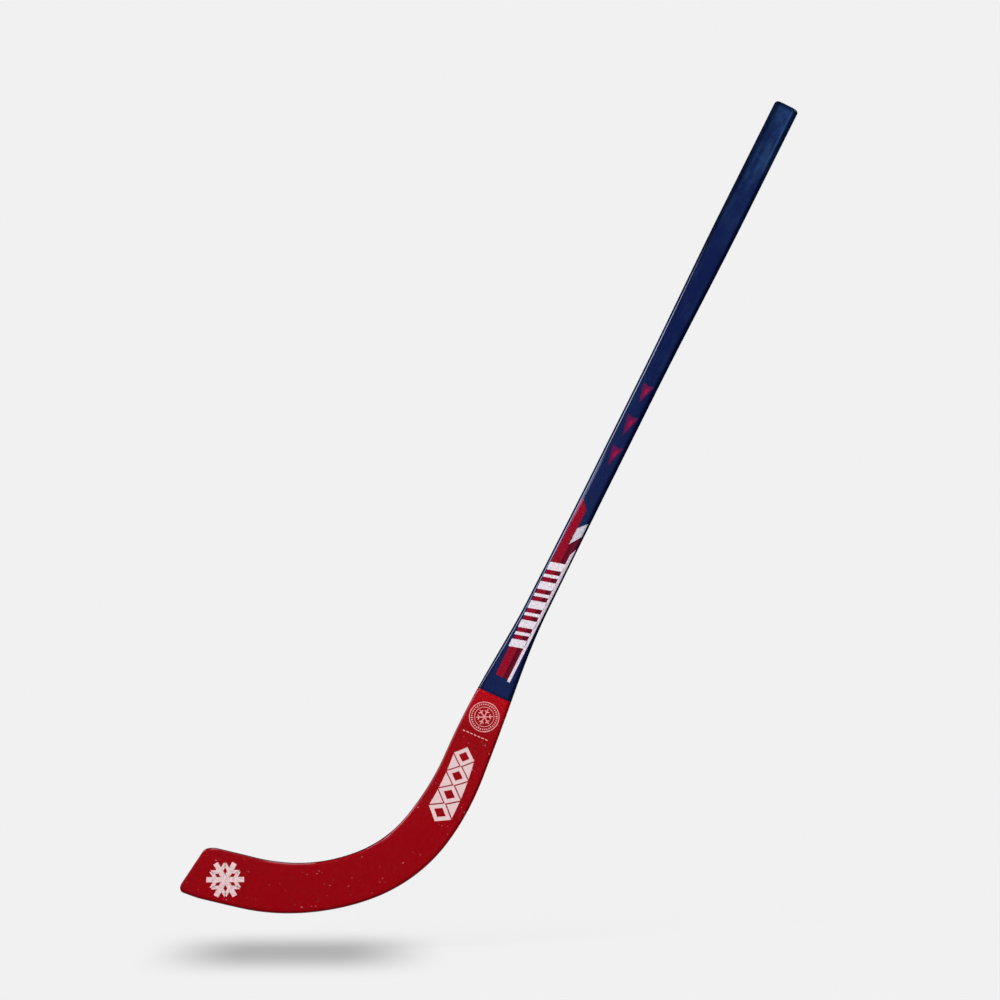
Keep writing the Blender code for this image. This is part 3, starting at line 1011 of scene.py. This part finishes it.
woods = {
    "aspen": {"pale": (0.78, 0.63, 0.42), "dark": (0.62, 0.45, 0.26), "rings": 260.0},
    "ash": {"pale": (0.62, 0.44, 0.25), "dark": (0.36, 0.22, 0.10), "rings": 420.0},
    "ashPly": {"pale": (0.66, 0.49, 0.30), "dark": (0.40, 0.26, 0.13), "rings": 420.0},
}
figure = {
    "bend": (0.12, 0.17),  # its centre: past the heel, and in from the line
    "bendRadius": 0.18,
    "ringShare": (1.0, 0.5),  # across and through
    "ringLength": 9,
    "year": (1.0, 2.0, 0.45),
    "fibre": ((2600, 2600, 60), 3.0, 0.6),
    "wave": {"Scale": 0.35, "Distortion": 3.0, "Detail": 2.0},
    "tone": {"wave": 0.5, "year": 0.35, "fibre": 0.25, "range": (0.30, 0.85)},
    "roughness": ((0.3, 0.7), (0.55, 0.75)),
    "relief": {"fibre": 0.6, "wave": 0.4, "strength": 0.3, "depth": 0.0001},
}
bendCentre = plan(heel + figure["bend"][0], -figure["bend"][1])


def makeWood(name, look, bent):
    finish = Finish(name, Coat_Weight=0.0)
    grainSpace = alongShaft(finish)
    if bent:  # round the bend's centre: out from it, through, and along
        shift = (-bendCentre.x, 0, -bendCentre.y)
        moved = finish.stretched(finish.inObject(), (1, 1, 1), shift=shift)
        x, y, z = [finish.part(moved, axis) for axis in range(3)]
        reach = x.maths("SQRT", x * x + z * z)
        around = x.maths("ARCTAN2", z, x) * figure["bendRadius"]
        grainSpace = finish.node("CombineXYZ", values={0: reach, 1: y, 2: around})
    across, through = [look["rings"] * share for share in figure["ringShare"]]
    long = finish.stretched(grainSpace, (across, through, figure["ringLength"]))
    fibre = finish.grain(grainSpace, *figure["fibre"])
    year = finish.noise(long, *figure["year"])
    bands = {"wave_type": "BANDS", "bands_direction": "X"}
    wave = finish.node("TexWave", bands, {"Vector": long, **figure["wave"]})
    tone = figure["tone"]
    mixed = wave * tone["wave"] + year * tone["year"] + fibre * tone["fibre"]
    colour = finish.blend(finish.between(mixed, *tone["range"]), look["pale"], look["dark"])
    values, roughness = figure["roughness"]
    finish.set(Base_Color=colour, Roughness=finish.between(fibre, *values, *roughness))
    depth = figure["relief"]
    height = fibre * depth["fibre"] + wave * depth["wave"]
    finish.bump(height, depth["strength"], depth["depth"])
    return finish.material


glass = {
    "resin": {"Coat_Weight": 0.15, "Coat_Roughness": 0.2},
    "pale": (0.68, 0.71, 0.62),
    "thread": (0.50, 0.55, 0.45),
    "paleShare": 0.8,
    "pitch": 0.0012,
    "strands": ((1500, 1500, 12), 3.0, 0.6),
    "pools": (60.0, 2.0),
    "pooled": {"colour": (0.60, 0.58, 0.42), "pools": (0.4, 0.7), "share": 0.3},
    "roughness": ((0.3, 0.7), (0.35, 0.5)),
    "relief": (0.35, 0.00012),  # strength and depth
}


def makeGlass(name, look, woven):
    finish = Finish(name, **look["resin"])
    turned = alongShaft(finish)
    if woven:
        flat = {0: finish.part(turned), 1: finish.part(turned, 2)}
        threads = clothHeight(finish, finish.node("CombineXYZ", values=flat), look["pitch"])
    else:
        threads = finish.grain(turned, *look["strands"])
    pools = finish.noise(turned, *look["pools"])
    colour = finish.blend(threads * look["paleShare"], look["thread"], look["pale"])
    colour = finish.lay(colour, finish.between(pools, *look["pooled"]["pools"]), look["pooled"])
    values, roughness = look["roughness"]
    finish.set(Base_Color=colour, Roughness=finish.between(pools, *values, *roughness))
    finish.bump(threads, *look["relief"])
    return finish.material


inside = {
    "shaft_core": makeWood("aspen", woods["aspen"], False),
    "shaft_strip": makeWood("ash", woods["ash"], False),
    "blade_ply": makeWood("ashPly", woods["ashPly"], True),
    "shaft_laminate": makeGlass("glassLaminate", glass, False),
    "blade_patch": makeGlass("glassCloth", glass, True),
}
for name, node in nodes.items():
    for start, finish in inside.items():
        if name.startswith(start):
            node.data.materials.clear()
            node.data.materials.append(finish)
print("inner pieces finished")

studio = {
    "backdrop": 0.879,
    "ambient": 0.35,
    "view": {"from": (-0.2760, -6.0, -0.3562), "width": 1.085, "sensor": 36.0, "reach": 100.0},
    "lamps": {
        "key": {"from": (-0.15, -1.0, 0.45), "strength": 2.43, "angle": 60},
        "rear": {"from": (-0.1, 1.0, 0.0), "strength": 1.6, "angle": 2},
    },
    "floor": {"at": (-0.3, 0.0, -0.8477), "radius": 3.0, "steps": 96, "tone": 0.25},
    "floorFade": (1.2, 2.6),
    # Painted shadow: a soft darker patch on the floor under the blade
    "shadow": {"at": -0.5005, "wide": (0.046, 0.174), "deep": (0.0, 0.33), "depth": 0.48},
}
view = studio["view"]
camera = bpy.data.cameras.new("camera")
camera.sensor_width = view["sensor"]
camera.lens = view["sensor"] * -view["from"][1] / view["width"]
cameraObject = bpy.data.objects.new("camera", camera)
cameraObject.location = view["from"]
cameraObject.rotation_euler = (math.radians(90), 0, 0)
camera.clip_end = view["reach"]
scene.collection.objects.link(cameraObject)
scene.camera = cameraObject

for name, look in studio["lamps"].items():
    lamp = bpy.data.lights.new(name, "SUN")
    lamp.energy = look["strength"]
    lamp.angle = math.radians(look["angle"])
    lampObject = bpy.data.objects.new(name, lamp)
    lampObject.rotation_euler = Vector(look["from"]).to_track_quat("Z", "Y").to_euler()
    lampObject.visible_glossy = False  # the gloss shows the room, not the lamps
    scene.collection.objects.link(lampObject)

world = bpy.data.worlds.new("studio")
world.use_nodes = True
scene.world = world
sky = Graph(world.node_tree)
glow, shown = [
    sky.node("Background", values={"Color": (1, 1, 1, 1), "Strength": studio[name]})
    for name in ("ambient", "backdrop")
]
mixed = sky.node("MixShader", values={0: sky.seen(), 1: glow, 2: shown})
sky.tree.links.new(mixed.socket, sky.tree.nodes["World Output"].inputs["Surface"])


def makeFloor(look, shadow):
    finish = Finish("floor", Roughness=1.0, Specular_IOR_Level=0.0)
    spot = finish.inObject()
    centred = finish.stretched(spot, (1, 1, 0), shift=(-look["at"][0], 0, 0))
    far = finish.node("VectorMath", {"operation": "LENGTH"}, {0: centred}, output=1)
    # Painted shadow: the floor darker in a soft patch under the blade
    shade = finish.until((finish.part(spot) - shadow["at"]).size(), *shadow["wide"])
    shade = shade * finish.until(finish.part(spot, 1).size(), *shadow["deep"])
    light = studio["ambient"]  # what falls on the floor
    for lamp in studio["lamps"].values():
        light += lamp["strength"] * Vector(lamp["from"]).normalized().z / math.pi
    left = 1 - shade * shadow["depth"]
    tone = left * look["tone"]
    extra = left * finish.seen() * (studio["backdrop"] - look["tone"] * light)
    base, lit = [
        finish.node("CombineColor", values=dict.fromkeys(range(3), value))
        for value in (tone, extra)
    ]
    finish.set(Base_Color=base, Emission_Color=lit, Emission_Strength=1.0)
    finish.set(Alpha=finish.until(far, *studio["floorFade"]))
    bm = bmesh.new()
    bmesh.ops.create_circle(bm, cap_ends=True, segments=look["steps"], radius=look["radius"])
    for vert in bm.verts:
        vert.co += Vector(look["at"])
    floor = newObject("floor", bm, finish.material)
    floor.visible_glossy = False


makeFloor(studio["floor"], studio["shadow"])

# Cards that only reflections see, black or glowing, as round a glossy thing in a studio.
# The side cards stand beside the stick: their edges run to a y at each place along it.
tones = {"blue": (0.52, 0.61, 1.0), "rosy": (1.0, 0.70, 0.80), "red": (1.0, 0.58, 0.69)}
cards = {
    "frontCard": {"at": (-0.3, -8.0, 0.0), "faces": (0, 1, 0), "size": (16.0, 16.0)},
    "backCard": {"at": (-0.3, 8.0, 0.0), "faces": (0, -1, 0), "size": (12.0, 12.0)},
    "lowCard": {"at": (-0.3, 0.0, -0.90), "faces": (0, 0, 1), "size": (16.0, 16.0)},
    "lowStrip": {
        "at": (-0.42, 0.38, -0.89),
        "faces": (0, 0, 1),
        "size": (0.6, 0.8),
        "glow": 0.5,
        "tone": "rosy",
    },
    "topCard": {"at": (0.20, -3.5, 1.2), "faces": (0, 0, -1), "size": (2.8, 9.0)},
    "topStrip": {
        "at": (-0.52, 1.30, 1.19),
        "faces": (0, 0, -1),
        "size": (0.55, 4.1),
        "glow": 2.0,
        "tone": "rosy",
    },
    "buttCard": {"at": (0.0, 0.5, 0.40), "faces": (0, 0, -1), "size": (0.6, 3.4)},
}
sideCards = {
    "rightCard": {"off": 0.5, "edges": ((-0.6, -8.0, 8.0), (1.1, -8.0, 8.0))},
    "leftCard": {"off": -1.2, "edges": ((-0.6, -8.0, 8.0), (1.8, -8.0, 8.0))},
    "lineStrip": {
        "off": -1.19,
        "glow": 12.0,
        "tone": "blue",
        "edges": (
            (0.12, -0.10, -0.10),
            (0.17, -0.15, -0.05),
            (0.25, -0.22, 0.02),
            (0.36, -0.22, 0.02),
            (0.41, -0.16, 0.00),
            (0.48, -0.18, 0.02),
            (0.53, -0.26, 0.04),
            (0.57, -0.16, 0.00),
            (1.8, -0.14, -0.02),
        ),
    },
    "bandStrip": {
        "off": -1.19,
        "glow": 4.0,
        "tone": "blue",
        "edges": ((0.41, -0.5, -0.23), (0.44, -2.3, -0.23), (0.49, -2.3, -0.23)),
    },
    "heelStrip": {
        "off": -0.53,
        "glow": 1.2,
        "tone": "rosy",
        "edges": ((0.725, -0.25, 0.70), (0.95, -0.25, 0.70)),
    },
    "bendStrip": {  # close to the inner side of the bend, and curved as it is
        "off": -0.126,
        "curved": True,
        "glow": 4.4,
        "tone": "red",
        "edges": (
            (0.862, -0.012, -0.008),
            (0.878, -0.045, 0.030),
            (0.915, -0.045, 0.030),
            (0.965, -0.030, 0.000),
        ),
    },
}


def asCard(name, bm, look):
    finish = Finish(name, Base_Color=(0, 0, 0, 1), Specular_IOR_Level=0.0, Roughness=1.0)
    if "glow" in look:
        tone = (*tones[look["tone"]], 1)
        finish.set(Emission_Color=tone, Emission_Strength=look["glow"])
    card = newObject(name, bm, finish.material)
    for rays in ("camera", "diffuse", "transmission", "volume_scatter", "shadow"):
        setattr(card, "visible_" + rays, False)


def makeCard(name, look):
    bm = bmesh.new()
    bmesh.ops.create_grid(bm, x_segments=1, y_segments=1, size=0.5)
    turn = Vector(look["faces"]).to_track_quat("Z", "Y").to_matrix()
    wide, long = look["size"]
    for vert in bm.verts:
        vert.co = Vector(look["at"]) + turn @ Vector((vert.co.x * wide, vert.co.y * long, 0))
    asCard(name, bm, look)


def makeSideCard(name, look):
    bm = bmesh.new()
    edges = look["edges"]
    sheet = {"x_segments": 1, "y_segments": len(edges) - 1, "size": 0.5}
    where = onBlade if "curved" in look else onShaft
    for number, vert in enumerate(bmesh.ops.create_grid(bm, **sheet)["verts"]):
        along, front, back = edges[number // 2]
        spot = where(look["off"], along)
        vert.co = (spot.x, back if number % 2 else front, spot.y)
    asCard(name, bm, look)


for name, look in cards.items():
    makeCard(name, look)
for name, look in sideCards.items():
    makeSideCard(name, look)

scene.view_settings.view_transform = "Standard"
print("studio set")
